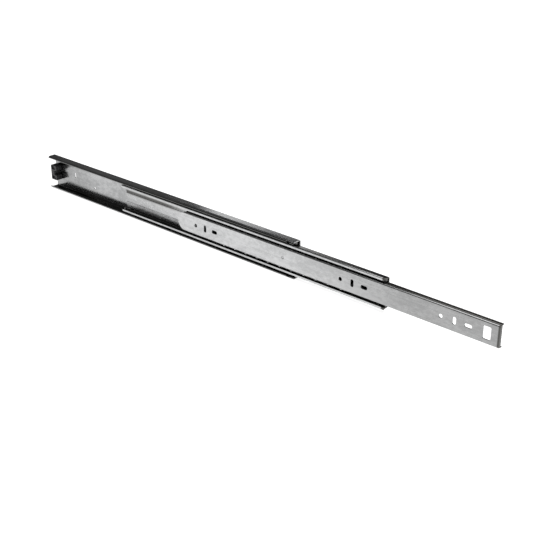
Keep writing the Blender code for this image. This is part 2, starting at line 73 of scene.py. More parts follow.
class Value:
    """A shader value that Python's operators can be used on."""

    def __init__(self, tree, socket):
        self.tree = tree
        self.socket = socket

    def maths(self, operation, *others):
        return self.tree.add("ShaderNodeMath", {"operation": operation}, self, *others)

    def __add__(self, other):
        return self.maths("ADD", other)

    def __sub__(self, other):
        return self.maths("SUBTRACT", other)

    def __rsub__(self, other):
        return self.tree.add("ShaderNodeMath", {"operation": "SUBTRACT"}, other, self)

    def __mul__(self, other):
        return self.maths("MULTIPLY", other)

    def size(self):
        return self.maths("ABSOLUTE")

    def clear(self, low, high):
        """0 below low, 1 above high, soft between."""
        soft = {"interpolation_type": "SMOOTHSTEP"}
        return self.tree.add("ShaderNodeMapRange", soft, self, low, high, 0.0, 1.0)

    def most(self, other):
        return self.maths("MAXIMUM", other)

    __radd__ = __add__
    __rmul__ = __mul__


class Finish:
    """A material for one finish, with its Principled shader."""

    def __init__(self, name, metallic, **fixed):
        self.material = bpy.data.materials.new(name)
        self.material.use_nodes = True
        self.nodes = self.material.node_tree.nodes
        self.links = self.material.node_tree.links
        self.shader = self.nodes["Principled BSDF"]
        self.shader.inputs["Metallic"].default_value = metallic
        for socket, value in fixed.items():
            self.shader.inputs[socket.replace("_", " ")].default_value = value

    def add(self, kind, settings, *values, output=0, **named):
        node = self.nodes.new(kind)
        for key, value in settings.items():
            setattr(node, key, value)
        for socket, value in [*zip(node.inputs, values), *named_sockets(node, named)]:
            if isinstance(value, Value):
                self.links.new(value.socket, socket)
            elif value is not None:
                socket.default_value = value
        return Value(self, node.outputs[output])

    def place(self, scale=(1.0, 1.0, 1.0)):
        """Object coordinates in millimetres, stretched by a scale."""
        where = self.add("ShaderNodeTexCoord", {}, output="Object")
        stretch = tuple(number * 1000 for number in scale)
        return self.add("ShaderNodeMapping", {}, where, Scale=stretch)

    def axis(self, letter):
        """One Object coordinate in millimetres."""
        return self.add("ShaderNodeSeparateXYZ", {}, self.place(), output=letter)

    def noise(self, scale, detail=3.0, roughness=0.55):
        return self.add(
            "ShaderNodeTexNoise",
            {},
            Vector=self.place(scale),
            Scale=1.0,
            Detail=detail,
            Roughness=roughness,
        )

    def blend(self, share, first, second):
        """A colour between two colours."""
        node = self.nodes.new("ShaderNodeMix")
        node.data_type = "RGBA"
        for key, value in ((0, share), (6, first), (7, second)):
            if isinstance(value, Value):
                self.links.new(value.socket, node.inputs[key])
            elif key == 0:
                node.inputs[key].default_value = value
            else:
                node.inputs[key].default_value = (*value, 1.0)
        return Value(self, node.outputs[2])

    def feed(self, **sockets):
        for name, value in sockets.items():
            self.links.new(value.socket, self.shader.inputs[name.replace("_", " ")])

    def bump(self, height, strength, distance):
        made = self.add("ShaderNodeBump", {}, Strength=strength, Distance=distance, Height=height)
        self.feed(Normal=made)


def named_sockets(node, named):
    return [(node.inputs[key], value) for key, value in named.items()]


# Tint for greasy places and for painted shade alike.
GREASE_AND_SHADE_TINT = (0.20, 0.195, 0.185)


def plated_steel(name, light, dark, grease_and_shade_mask, dull):
    """Bright zinc over rolled strip: streaks along the length, cloudiness, fine scratches."""
    made = Finish(name, 1.0)
    streaks = made.noise((0.004, 1.6, 1.6), 4.0, 0.6)
    hairlines = made.noise((0.02, 9.0, 9.0), 2.0, 0.5)
    clouds = made.noise((0.02, 0.05, 0.05), 3.0, 0.55)
    speckle = made.noise((1.3, 1.3, 1.3), 2.0, 0.6)
    mottle = made.noise((0.16, 0.30, 0.30), 3.0, 0.6)
    scratch = made.noise((0.09, 4.5, 4.5), 1.0, 0.4).clear(0.66, 0.74)
    tone = (streaks - 0.5) * 0.9 + (clouds - 0.5) * 1.1 + (mottle - 0.5) * 1.1 + 0.5
    colour = made.blend(tone.clear(0.2, 0.8), dark, light)
    rough = dull + (streaks - 0.5) * 0.22 + (clouds - 0.5) * 0.20 + (speckle - 0.5) * 0.05
    rough = rough - scratch * 0.05
    # The mask mixes real grease on the races with painted shade; both darken the colour toward the
    # same tint.
    grease_and_shade_share = grease_and_shade_mask(made)
    grease_and_shade_colour = tuple(part * share for part, share in zip(dark, GREASE_AND_SHADE_TINT))
    colour = made.blend(grease_and_shade_share, colour, grease_and_shade_colour)
    rough = rough - grease_and_shade_share * 0.08
    made.feed(Base_Color=colour, Roughness=rough)
    height = hairlines * 0.6 + streaks * 0.5 + scratch * -0.5 + speckle * 0.15
    made.bump(height, 0.12, 0.00006)
    return made.material


def node_tree(name, inputs):
    """An empty Geometry Nodes tree whose inputs have plain names."""
    made = bpy.data.node_groups.new(name, "GeometryNodeTree")
    made.interface.new_socket(name="Geometry", in_out="OUTPUT", socket_type="NodeSocketGeometry")
    for label, kind in inputs:
        made.interface.new_socket(name=label, in_out="INPUT", socket_type="NodeSocket" + kind)
    return made


def add_node(made, kind, values, **settings):
    """A node with its settings made first, then its sockets filled by name or number."""
    node = made.nodes.new(kind)
    for key, value in settings.items():
        setattr(node, key, value)
    for key, value in values.items():
        if isinstance(value, bpy.types.NodeSocket):
            made.links.new(value, node.inputs[key])
        else:
            node.inputs[key].default_value = value
    return node


def rolled_channel_tree():
    """Half of a channel's middle line becomes the whole open channel, bent and mirrored."""
    made = node_tree(
        "rolled_channel",
        [
            ("Half line", "Geometry"),
            ("Length", "Float"),
            ("Bend steps", "Int"),
            ("Finish", "Material"),
        ],
    )
    given = add_node(made, "NodeGroupInput", {}).outputs
    bend = add_node(
        made, "GeometryNodeInputNamedAttribute", {"Name": "bend"}, data_type="FLOAT"
    ).outputs["Attribute"]
    line = add_node(made, "GeometryNodeMeshToCurve", {"Mesh": given["Half line"]}).outputs[0]
    bent = add_node(
        made,
        "GeometryNodeFilletCurve",
        {"Curve": line, "Radius": bend, "Count": given["Bend steps"]},
        mode="POLY",
    ).outputs[0]
    edge = add_node(made, "GeometryNodeCurveToMesh", {"Curve": bent}).outputs[0]
    along = add_node(made, "ShaderNodeCombineXYZ", {"X": given["Length"]}).outputs[0]
    strip = add_node(
        made,
        "GeometryNodeExtrudeMesh",
        {"Mesh": edge, "Offset": along, "Offset Scale": 1.0},
        mode="EDGES",
    ).outputs[0]
    over = {"Geometry": strip, "Scale": (1.0, 1.0, -1.0)}
    other = add_node(made, "GeometryNodeTransform", over).outputs[0]
    turned = add_node(made, "GeometryNodeFlipFaces", {"Mesh": other}).outputs[0]
    both = add_node(made, "GeometryNodeJoinGeometry", {"Geometry": turned})
    made.links.new(strip, both.inputs[0])
    weld = {"Geometry": both.outputs[0], "Distance": WELD * MM}
    whole = add_node(made, "GeometryNodeMergeByDistance", weld).outputs[0]
    plain = add_node(made, "GeometryNodeRealizeInstances", {"Geometry": whole}).outputs[0]
    coated = {"Geometry": plain, "Material": given["Finish"]}
    last = add_node(made, "GeometryNodeSetMaterial", coated).outputs[0]
    add_node(made, "NodeGroupOutput", {"Geometry": last})
    return made


def at_places_tree():
    """One copy of a piece on each point."""
    made = node_tree(
        "at_places", [("Places", "Geometry"), ("Piece", "Object"), ("Finish", "Material")]
    )
    given = add_node(made, "NodeGroupInput", {}).outputs
    piece = add_node(made, "GeometryNodeObjectInfo", {"Object": given["Piece"]}).outputs["Geometry"]
    copies = add_node(
        made, "GeometryNodeInstanceOnPoints", {"Points": given["Places"], "Instance": piece}
    ).outputs[0]
    plain = add_node(made, "GeometryNodeRealizeInstances", {"Geometry": copies}).outputs[0]
    coated = {"Geometry": plain, "Material": given["Finish"]}
    last = add_node(made, "GeometryNodeSetMaterial", coated).outputs[0]
    add_node(made, "NodeGroupOutput", {"Geometry": last})
    return made


def use_tree(target, made, **inputs):
    """Puts a tree on an object and sets its inputs by their identifiers."""
    nodes = target.modifiers.new(made.name, "NODES")
    nodes.node_group = made
    for item in made.interface.items_tree:
        key = item.name.replace(" ", "_")
        if item.in_out == "INPUT" and key in inputs:
            nodes[item.identifier] = inputs[key]


def object_of(name, mesh):
    made = bpy.data.objects.new(name, mesh)
    bpy.context.scene.collection.objects.link(made)
    return made


def mesh_of(bm, name):
    mesh = bpy.data.meshes.new(name)
    bm.to_mesh(mesh)
    bm.free()
    return mesh


def plain_mesh(worked, name):
    """The evaluated mesh of a worked object, which is then taken away."""
    bpy.context.view_layer.update()
    seen = worked.evaluated_get(bpy.context.evaluated_depsgraph_get())
    mesh = bpy.data.meshes.new_from_object(seen)
    mesh.name = name
    bpy.data.objects.remove(worked, do_unlink=True)
    return mesh


def flat_points(corners):
    """Adds a point on the flat just before and after each bend, so that flats are shaded flat."""
    points = [(*corners[0][:2], 0.0)]
    for before, corner, after in zip(corners, corners[1:], corners[2:]):
        centre = Vector(corner[:2])
        back = Vector(before[:2]) - centre
        ahead = Vector(after[:2]) - centre
        reach = corner[2] / math.tan(back.angle(ahead) / 2) + FLAT_MARGIN
        for side in (back, None, ahead):
            if side is None:
                points.append(corner)
            elif side.length > reach + 0.1:
                near = centre + side.normalized() * reach
                points.append((near.x, near.y, 0.0))
    points.append((*corners[-1][:2], 0.0))
    return points


def channel(name, corners, rear, length, sheet, finish):
    """An open channel of sheet from rear, ready for piercing."""
    bm = bmesh.new()
    bend = bm.verts.layers.float.new("bend")
    line = []
    for depth, height, radius in flat_points(corners):
        point = bm.verts.new((rear, -depth * MM, height * MM))
        point[bend] = radius * MM
        line.append(point)
    for pair in zip(line, line[1:]):
        bm.edges.new(pair)
    made = object_of(name, mesh_of(bm, name))
    use_tree(made, channel_tree, Length=length * MM, Bend_steps=BEND_STEPS, Finish=finish)
    wall = made.modifiers.new("sheet", "SOLIDIFY")
    wall.thickness = sheet * MM
    wall.offset = 0.0
    wall.use_even_offset = True
    edge = made.modifiers.new("edge", "BEVEL")
    edge.width = EDGE * MM
    edge.segments = 2
    edge.limit_method = "ANGLE"
    edge.angle_limit = math.radians(60)
    return made


def outline_ring(bm, width, height, grow, along):
    """A round-ended slot's outline, grown by an amount, at one place along the punch."""
    radius = min(width, height) / 2
    ring = []
    for step in range(SLOT_STEPS):
        turn = math.tau * (step + 0.5) / SLOT_STEPS
        x = math.copysign(width / 2 - radius, math.cos(turn)) + math.cos(turn) * (radius + grow)
        z = math.copysign(height / 2 - radius, math.sin(turn)) + math.sin(turn) * (radius + grow)
        ring.append(bm.verts.new((x * MM, along * MM, z * MM)))
    return ring


def lofted(bm, rings):
    for low, high in zip(rings, rings[1:]):
        for number, corner in enumerate(low):
            after = (number + 1) % len(low)
            bm.faces.new((corner, low[after], high[after], high[number]))
    bm.faces.new(rings[0][::-1])
    bm.faces.new(rings[-1])
    bmesh.ops.recalc_face_normals(bm, faces=bm.faces)


def punch(width, height, rim=0.22, sheet=SHEET):
    """A punch whose flared ends leave a broken edge on both faces of the sheet."""
    bm = bmesh.new()
    half = sheet / 2
    out = 0.6
    flare = rim + out
    stops = ((-half - out, flare), (-half + rim, 0.0), (half - rim, 0.0), (half + out, flare))
    lofted(bm, [outline_ring(bm, width, height, grow, along) for along, grow in stops])
    return object_of("punch", mesh_of(bm, "punch"))


def pierce(target, tool, places):
    """Cuts one tool's shape out of a piece at several places (x, y, z in metres)."""
    bm = bmesh.new()
    for place in places:
        bm.verts.new(place)
    rows = object_of("holes", mesh_of(bm, "holes"))
    use_tree(rows, places_tree, Piece=tool, Finish=zinc)
    cutter = object_of("holes", plain_mesh(rows, "holes"))
    bpy.data.objects.remove(tool, do_unlink=True)
    change(target, cutter, "DIFFERENCE")


def change(target, tool, operation):
    made = target.modifiers.new("cut", "BOOLEAN")
    made.operation = operation
    made.object = tool
    tools.append(tool)


def block(low, high, soft=0.0):
    """A block between two corners in millimetres (x, depth, height), its edges eased."""
    bm = bmesh.new()
    made = bmesh.ops.create_cube(bm, size=1.0)["verts"]
    low, high = ((end[0] * MM, -end[1] * MM, end[2] * MM) for end in (low, high))
    for vert in made:
        for axis in range(3):
            span = abs(high[axis] - low[axis])
            vert.co[axis] = (low[axis] + high[axis]) / 2 + vert.co[axis] * span
    if soft:
        bmesh.ops.bevel(bm, geom=bm.edges[:], offset=soft * MM, segments=2, affect="EDGES")
    return object_of("block", mesh_of(bm, "block"))


def both_edges(target, operation, low, high, soft=0.0):
    """The same block above and below the middle line."""
    change(target, block(low, high, soft), operation)
    change(target, block((*low[:2], -high[2]), (*high[:2], -low[2]), soft), operation)


def finished(worked, name, finish, body, slot, *nodes, sharp=28.0):
    """The plain mesh of a worked piece, given to its body in place of its CAD nodes."""
    mesh = plain_mesh(worked, name)
    for tool in tools:
        bpy.data.objects.remove(tool, do_unlink=True)
    tools.clear()
    mesh.materials.clear()
    mesh.materials.append(finish)
    for face in mesh.polygons:
        face.material_index = 0
    mesh.shade_smooth()
    mesh.set_sharp_from_angle(angle=math.radians(sharp))
    piece = object_of(name, mesh)
    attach(piece, body)
    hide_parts(*nodes)
    return piece


tools = []
channel_tree = rolled_channel_tree()
places_tree = at_places_tree()


low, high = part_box("cabinet_member")
cabinet_rear = low.x / MM
cabinet_front = high.x / MM
cabinet_top = round(high.z / MM - HALF, 4)
cabinet_lip = round(-low.y / MM - HALF, 4)
OUTER_GREASE = (17.6, 19.0)
REAR_SHADE_LENGTH = 115.0


def cabinet_grease_and_shade(made):
    """Grease along both outer races, and painted shade darkening the web toward the rear end."""
    height = made.axis("Z").size()
    depth = made.axis("Y") * -1.0
    inside = 1.0 - height.clear(cabinet_top - 0.55, cabinet_top - 0.25)
    races = height.clear(*OUTER_GREASE) * depth.clear(1.0, 1.4) * inside * 0.85
    # Painted shade: the web is darkened at the rear end, where the bumper's shadow falls, fading out
    # toward the front.
    rear = (1.0 - made.axis("X").clear(cabinet_rear, cabinet_rear + REAR_SHADE_LENGTH)) * 0.3
    return races.most(rear)


# The cabinet's zinc is darker than the other members': partly a real difference in the plating, partly
# painted shade for the dimmer light on the cabinet.
zinc = plated_steel(
    "cabinet_zinc", (0.41, 0.413, 0.416), (0.29, 0.293, 0.296), cabinet_grease_and_shade, 0.22
)
CABINET_BEND = 1.8
CURL_BEND = 1.85
CURL_END = 20.35
STOP_EASE = 0.15
HOLE = 4.4
SLOT_LENGTH = 8.6
SLOT_WIDTH = 4.0
HOLE_PITCH = 16.0
CABINET_FIRST_HOLE = 37.0
SLIT_PLACE = (43.0, 2.0)
SMALL_HOLE_PLACE = (84.0, -6.5)
PEG_FROM_REAR = 7.0
PIERCED_EDGE = 0.1
SMALL_EDGE = 0.3
SLIT_WIDTH = 2.0
SLIT_LENGTH = 7.0
SMALL_HOLE = 2.8
PEG_HOLE = 4.6
NOTCH_LENGTH = 4.0
NOTCH_FROM_FRONT = 6.0

cabinet = channel(
    "cabinet_channel",
    [
        (HALF, 0.0, 0.0),
        (HALF, cabinet_top, CABINET_BEND),
        (cabinet_lip, cabinet_top, CURL_BEND),
        (cabinet_lip, CURL_END, 0.0),
    ],
    low.x,
    round(cabinet_front - cabinet_rear, 4),
    SHEET,
    zinc,
)
race_low = (cabinet_front - SHEET, 5.75, 18.95)
race_high = (cabinet_front, 8.95, 22.2)
both_edges(cabinet, "UNION", race_low, race_high, STOP_EASE)
web = -HALF * MM
first = cabinet_front - CABINET_FIRST_HOLE
rounds = [(first - HOLE_PITCH * step) * MM for step in (0, 2, 8, 14, 16)]
uprights = [(first - HOLE_PITCH * step) * MM for step in (1, 3, 9)]
slit = (cabinet_rear + SLIT_PLACE[0]) * MM, web, SLIT_PLACE[1] * MM
small = (cabinet_rear + SMALL_HOLE_PLACE[0]) * MM, web, SMALL_HOLE_PLACE[1] * MM
pierce(cabinet, punch(HOLE, HOLE), [(x, web, 0.0) for x in rounds])
pierce(cabinet, punch(SLOT_WIDTH, SLOT_LENGTH), [(x, web, 0.0) for x in uprights])
pierce(cabinet, punch(SLIT_WIDTH, SLIT_LENGTH, SMALL_EDGE), [slit])
pierce(cabinet, punch(SMALL_HOLE, SMALL_HOLE, SMALL_EDGE), [small])
peg_place = (cabinet_rear + PEG_FROM_REAR) * MM, web, 0.0
pierce(cabinet, punch(PEG_HOLE, PEG_HOLE, PIERCED_EDGE), [peg_place])
notch = cabinet_front - NOTCH_FROM_FRONT
both_edges(cabinet, "DIFFERENCE", (notch - NOTCH_LENGTH, 10.3, 19.0), (notch, 25.0, 21.5))
finished(cabinet, "cabinet_channel", zinc, "cabinet", "zinc_plated_steel", "cabinet_member")

# ---------------------------------------------------------------------------
# Intermediate member: the middle channel, running between the two ball rows.
# The same plated strip: each edge steps out in front of the outer balls, then
# turns in. Small tabs close the races and stop the lever and the outer cage.
# ---------------------------------------------------------------------------


low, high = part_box("intermediate_member")
middle_rear = low.x / MM
middle_front = high.x / MM
middle_lip = cabinet_lip - HALF
INNER_GREASE = (13.0, 15.5)
WEB_SHADE_LOW = (3.5, 6.5)
WEB_SHADE_HIGH = (9.0, 11.5)
WEB_SHADE_FADE = (70.7, 130.7)
MIDDLE_END_SHADE = (3.1, 2.1)


def middle_grease_and_shade(made):
    """Grease along the inner races, a band of painted shade on the open web near the rear, and painted
    shade on the front end.
    """
    height = made.axis("Z").size()
    depth = made.axis("Y") * -1.0
    face = depth.clear(middle_lip - HALF, middle_lip - 0.1)
    races = height.clear(*INNER_GREASE) * depth.clear(3.3, 3.9) * (1.0 - face) * 0.8
    # Painted shade: a band across the upper web, darkest at the rear end and fading out along the
    # length.
    upper = made.axis("Z")
    rear = 1.0 - made.axis("X").clear(middle_rear + WEB_SHADE_FADE[0], middle_rear + WEB_SHADE_FADE[1])
    web_shade = upper.clear(*WEB_SHADE_LOW) * (1.0 - upper.clear(*WEB_SHADE_HIGH)) * rear
    # Painted shade: the last few millimetres of the member are darkened.
    start, end = MIDDLE_END_SHADE
    front_end = made.axis("X").clear(middle_front - start, middle_front - end)
    return races.most(web_shade * 0.95).most(front_end)


middle_zinc = plated_steel(
    "middle_zinc", (0.50, 0.503, 0.506), (0.38, 0.383, 0.386), middle_grease_and_shade, 0.26
)
MIDDLE_WEB = 3.4
MIDDLE_BEAD = 0.28
MIDDLE_TOP = 17.25
MIDDLE_STEP = 0.6
MIDDLE_LIP_END = 15.4
STEP_BEND = 0.8
BEAD_BEND = 0.4

middle = channel(
    "middle_channel",
    [
        (MIDDLE_WEB, 0.0, 0.0),
        (MIDDLE_WEB, 6.0, BEAD_BEND),
        (MIDDLE_WEB - MIDDLE_BEAD, 6.7, BEAD_BEND),
        (MIDDLE_WEB - MIDDLE_BEAD, 7.9, BEAD_BEND),
        (MIDDLE_WEB, 8.6, BEAD_BEND),
        (MIDDLE_WEB, MIDDLE_TOP, CABINET_BEND),
        (9.3, MIDDLE_TOP, STEP_BEND),
        (10.1, MIDDLE_TOP + MIDDLE_STEP, STEP_BEND),
        (middle_lip, MIDDLE_TOP + MIDDLE_STEP, STEP_BEND),
        (middle_lip, MIDDLE_LIP_END, 0.0),
    ],
    low.x,
    middle_front - middle_rear,
    SHEET,
    middle_zinc,
)
for x in (middle_rear, middle_front - SHEET):
    both_edges(middle, "UNION", (x, 6.3, 13.95), (x + SHEET, 8.7, 17.2), STOP_EASE)
lever_catch = block((middle_front - SHEET, MIDDLE_WEB, -1.5), (middle_front, 9.5, 7.7), STOP_EASE)
change(middle, lever_catch, "UNION")
cage_stop = block((middle_rear, 1.6, -5.0), (middle_rear + 3.0, MIDDLE_WEB, 5.0), STOP_EASE)
change(middle, cage_stop, "UNION")
finished(
    middle, "middle_channel", middle_zinc, "intermediate", "zinc_plated_steel", "intermediate_member"
)

# ---------------------------------------------------------------------------
# Drawer member: the narrow channel, screwed to the drawer through its slots.
# The same plated strip; its edges step out to the inner races and end in a
# shallow hook, its rear end is cut half round and its front end bent back.
# ---------------------------------------------------------------------------


low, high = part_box("drawer_member")
drawer_rear = low.x / MM
drawer_front = high.x / MM
EDGE_GREASE = (11.4, 12.1)
FRONT_SHADE_SPAN = (307.0, 87.0)
DRAWER_END_SHADE = (2.8, 1.6)


def drawer_grease_and_shade(made):
    """Grease on the outside of both edges, painted shade darkening the front part of the web, and
    painted shade on the front end.
    """
    depth = made.axis("Y") * -1.0
    height = made.axis("Z").size()
    edges = (1.0 - depth.clear(10.2, 11.6)) * height.clear(*EDGE_GREASE)
    # Painted shade: the web is darkened over its front part, growing toward the front end.
    start, end = FRONT_SHADE_SPAN
    front_shade = made.axis("X").clear(drawer_front - start, drawer_front - end) * 0.42
    # Painted shade: the bent-back front end is darkened.
    start, end = DRAWER_END_SHADE
    front_end = made.axis("X").clear(drawer_front - start, drawer_front - end)
    return edges.most(front_shade).most(front_end)


def carried(outline, depth, through):
    """A flat outline (x, height) at one depth, carried through by an amount."""
    bm = bmesh.new()
    face = bm.faces.new([bm.verts.new((x * MM, -depth * MM, z * MM)) for x, z in outline])
    swept = bmesh.ops.extrude_face_region(bm, geom=[face])["geom"]
    moved = [item for item in swept if isinstance(item, bmesh.types.BMVert)]
    bmesh.ops.translate(bm, verts=moved, vec=(0.0, -through * MM, 0.0))
    bmesh.ops.recalc_face_normals(bm, faces=bm.faces)
    return bm


drawer_zinc = plated_steel(
    "drawer_zinc", (0.51, 0.513, 0.516), (0.39, 0.393, 0.396), drawer_grease_and_shade, 0.30
)
DRAWER_TOP = 11.8
DRAWER_RACE = 12.25
DRAWER_HOOK = 12.7
RACE_STOP_FROM_REAR = 15.2
CATCH_FROM_REAR = 9.9
DRAWER_FIRST_SLOT = 35.0
RIVET_FROM_REAR = 172.0
WINDOW_FROM_FRONT = 14.0
WINDOW_WIDTH = 8.6
WINDOW_HEIGHT = 14.0
WINDOW_CORNER = 1.2
WINDOW_STEPS = 32
ROUND_END_STEPS = 48
RIVET_HOLE = 3.6

drawer = channel(
    "drawer_channel",
    [
        (cabinet_lip, 0.0, 0.0),
        (cabinet_lip, DRAWER_TOP, 1.2),
        (10.15, DRAWER_TOP, STEP_BEND),
        (9.25, DRAWER_RACE, STEP_BEND),
        (7.0, DRAWER_RACE, STEP_BEND),
        (6.2, DRAWER_HOOK, 0.0),
    ],
    low.x,
    round(drawer_front - drawer_rear, 4),
    SHEET,
    drawer_zinc,
)
stop = drawer_rear + RACE_STOP_FROM_REAR
both_edges(drawer, "UNION", (stop, 6.9, 12.3), (stop + SHEET, 8.7, 15.15), STOP_EASE)
flange_low = (drawer_front - SHEET, 8.5, -DRAWER_TOP)
flange_high = (drawer_front, 12.3, DRAWER_TOP)
change(drawer, block(flange_low, flange_high, 0.3), "UNION")
catch = drawer_rear + CATCH_FROM_REAR
catch_block = block((catch, 8.5, -1.5), (catch + SHEET, cabinet_lip, 1.5), STOP_EASE)
change(drawer, catch_block, "UNION")
web = -cabinet_lip * MM
slots = [drawer_front - DRAWER_FIRST_SLOT - HOLE_PITCH * step for step in (0, 8, 22)]
pierce(drawer, punch(SLOT_LENGTH, SLOT_WIDTH), [(x * MM, web, 0.0) for x in slots])
uprights = [((x - HOLE_PITCH) * MM, web, 0.0) for x in slots]
pierce(drawer, punch(SLOT_WIDTH, SLOT_LENGTH), uprights)
pierce(drawer, punch(HOLE, HOLE), [((x - 2 * HOLE_PITCH) * MM, web, 0.0) for x in slots])
rivet_place = (drawer_rear + RIVET_FROM_REAR) * MM, web, 0.0
pierce(drawer, punch(RIVET_HOLE, RIVET_HOLE, PIERCED_EDGE), [rivet_place])
window = drawer_front - WINDOW_FROM_FRONT
bm = bmesh.new()
rings = []
for along, grow in ((-1.2, 0.8), (-0.4, 0.0), (0.4, 0.0), (1.2, 0.8)):
    ring = []
    for step in range(WINDOW_STEPS):
        turn = math.tau * (step + 0.5) / WINDOW_STEPS
        x = math.copysign(WINDOW_WIDTH / 2 - WINDOW_CORNER, math.cos(turn))
        z = math.copysign(WINDOW_HEIGHT / 2 - WINDOW_CORNER, math.sin(turn))
        x += math.cos(turn) * (WINDOW_CORNER + grow)
        z += math.sin(turn) * (WINDOW_CORNER + grow)
        ring.append(bm.verts.new(((window + x) * MM, web + along * MM, z * MM)))
    rings.append(ring)
lofted(bm, rings)
change(drawer, object_of("window", mesh_of(bm, "window")), "DIFFERENCE")
reach = 30.0
clear_end = 3.0
arc = [math.pi * step / ROUND_END_STEPS for step in range(ROUND_END_STEPS + 1)]
corners = [(DRAWER_TOP, -reach), (-clear_end, -reach), (-clear_end, reach), (DRAWER_TOP, reach)]
outline = [(DRAWER_TOP * (1 - math.sin(turn)), DRAWER_TOP * math.cos(turn)) for turn in arc]
outline = [(drawer_rear + x, z) for x, z in outline + corners]
around = object_of("round_end", mesh_of(carried(outline, -5.0, reach), "round_end"))
change(drawer, around, "DIFFERENCE")
finished(drawer, "drawer_channel", drawer_zinc, "drawer", "zinc_plated_steel", "drawer_member")

# ---------------------------------------------------------------------------
# Ball cages: two thin strips of plain steel that keep each section's balls
# apart. The pockets are pierced in the strips' turned-up edges.
# ---------------------------------------------------------------------------


def strip_finish():
    """Plain oiled strip, greyer and softer than the plated channels."""
    made = Finish("oiled_strip", 1.0)
    streaks = made.noise((0.01, 2.4, 2.4), 3.0, 0.6)
    stain = made.noise((0.12, 0.2, 0.2), 3.0, 0.6)
    colour = made.blend(stain.clear(0.3, 0.75), (0.50, 0.505, 0.51), (0.36, 0.355, 0.345))
    made.feed(Base_Color=colour, Roughness=0.26 + streaks * 0.14 + stain * 0.1)
    made.bump(streaks, 0.15, 0.00005)
    return made.material


CAGE_SHEET = 0.8
CAGE_EDGE = 0.08
CAGE_WRAP = 0.9
CAGE_END = 6.0
POCKET = 3.8
BALLS = 11
BALL_DEPTH = 7.5
OUTER_ROW = 19.75
INNER_ROW = 14.75
OUTER_CAGE_WEB = 2.0
INNER_CAGE_WEB = 4.8
cage_strip = strip_finish()


def ball_places(node, height):
    """The middle of every ball that one cage holds, its upper row first."""
    low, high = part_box(node)
    first = low.x + CAGE_END * MM
    pitch = (high.x - low.x - 2 * CAGE_END * MM) / (BALLS - 1)
    return [
        (first + pitch * number, -BALL_DEPTH * MM, side * height * MM)
        for side in (1, -1)
        for number in range(BALLS)
    ]


def make_cage(name, body, node, web_depth, height):
    low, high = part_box(node)
    edge = BALL_DEPTH + CAGE_WRAP
    made = channel(
        name,
        [(web_depth, 0.0, 0.0), (web_depth, height, CAGE_SHEET), (edge, height, 0.0)],
        low.x,
        (high.x - low.x) / MM,
        CAGE_SHEET,
        cage_strip,
    )
    made.modifiers["edge"].width = CAGE_EDGE * MM
    tool = punch(POCKET, POCKET, 0.12, CAGE_SHEET)
    tool.data.transform(Matrix.Rotation(math.pi / 2, 4, "X"))
    pierce(made, tool, ball_places(node, height))
    return finished(made, name, cage_strip, body, "cage_steel", node)


make_cage("outer_cage_strip", "outer_cage", "outer_ball_cage", OUTER_CAGE_WEB, OUTER_ROW)
make_cage("inner_cage_strip", "inner_cage", "inner_ball_cage", INNER_CAGE_WEB, INNER_ROW)

# ---------------------------------------------------------------------------
# Balls: 3.5 mm hardened bearing steel, polished and lightly greased, eleven
# in each of the four rows, gripped by the cages' pockets.
# ---------------------------------------------------------------------------


def ball_finish():
    made = Finish("polished_balls", 1.0)
    wear = made.noise((0.9, 0.9, 0.9), 3.0, 0.6)
    grease = made.noise((0.25, 0.25, 0.25), 2.0, 0.5)
    colour = made.blend(grease.clear(0.55, 0.8), (0.80, 0.80, 0.81), (0.62, 0.61, 0.58))
    made.feed(Base_Color=colour, Roughness=0.07 + wear * 0.08 + grease.clear(0.5, 0.8) * 0.12)
    return made.material


BALL_RADIUS = 1.75
polished = ball_finish()


def make_balls(name, body, node, label, height):
    bm = bmesh.new()
    bmesh.ops.create_icosphere(bm, subdivisions=4, radius=BALL_RADIUS * MM)
    ball = object_of("ball", mesh_of(bm, "ball"))
    bm = bmesh.new()
    for place in ball_places(node, height):
        bm.verts.new(place)
    rows = object_of(name, mesh_of(bm, name))
    use_tree(rows, places_tree, Piece=ball, Finish=polished)
    numbers = range(1, BALLS + 1)
    nodes = [f"{label}_{row}_{number:02d}" for row in ("top", "bottom") for number in numbers]
    finished(rows, name, polished, body, "ball_steel", *nodes, sharp=180.0)
    bpy.data.objects.remove(ball, do_unlink=True)


make_balls("outer_balls", "outer_cage", "outer_ball_cage", "outer_ball", OUTER_ROW)
make_balls("inner_balls", "inner_cage", "inner_ball_cage", "inner_ball", INNER_ROW)

# ---------------------------------------------------------------------------
# Rear bumper: the black moulded buffer that the closing sections meet, and
# whose two lobes grip the drawer member's catch. Pegged into the web.
# ---------------------------------------------------------------------------


def moulded_black():
    """Black moulded plastic with a fine grain and a few rubbed places."""
    made = Finish("moulded_black", 0.0, IOR=1.5)
    grain = made.noise((6.0, 6.0, 6.0), 3.0, 0.6)
    rub = made.noise((0.35, 0.35, 0.35), 3.0, 0.55)
    colour = made.blend(rub.clear(0.45, 0.8), (0.018, 0.018, 0.019), (0.040, 0.040, 0.042))
    made.feed(Base_Color=colour, Roughness=0.42 + grain * 0.16 - rub.clear(0.5, 0.8) * 0.1)
    made.bump(grain, 0.35, 0.00005)
    return made.material


black = moulded_black()


def rounded_outline(corners, steps=8):
    """A closed outline (x, z, radius) with its corners rounded."""
    points = []
    for before, corner, after in zip([corners[-1]] + corners[:-1], corners, corners[1:] + corners[:1]):
        centre = Vector(corner[:2])
        back = (Vector(before[:2]) - centre).normalized()
        ahead = (Vector(after[:2]) - centre).normalized()
        half_angle = back.angle(ahead) / 2
        middle_point = centre + (back + ahead).normalized() * corner[2] / math.sin(half_angle)
        start = centre + back * corner[2] / math.tan(half_angle) - middle_point
        end = centre + ahead * corner[2] / math.tan(half_angle) - middle_point
        sweep = start.angle_signed(end)
        for step in range(steps + 1):
            points.append(middle_point + Matrix.Rotation(-sweep * step / steps, 2) @ start)
    return points


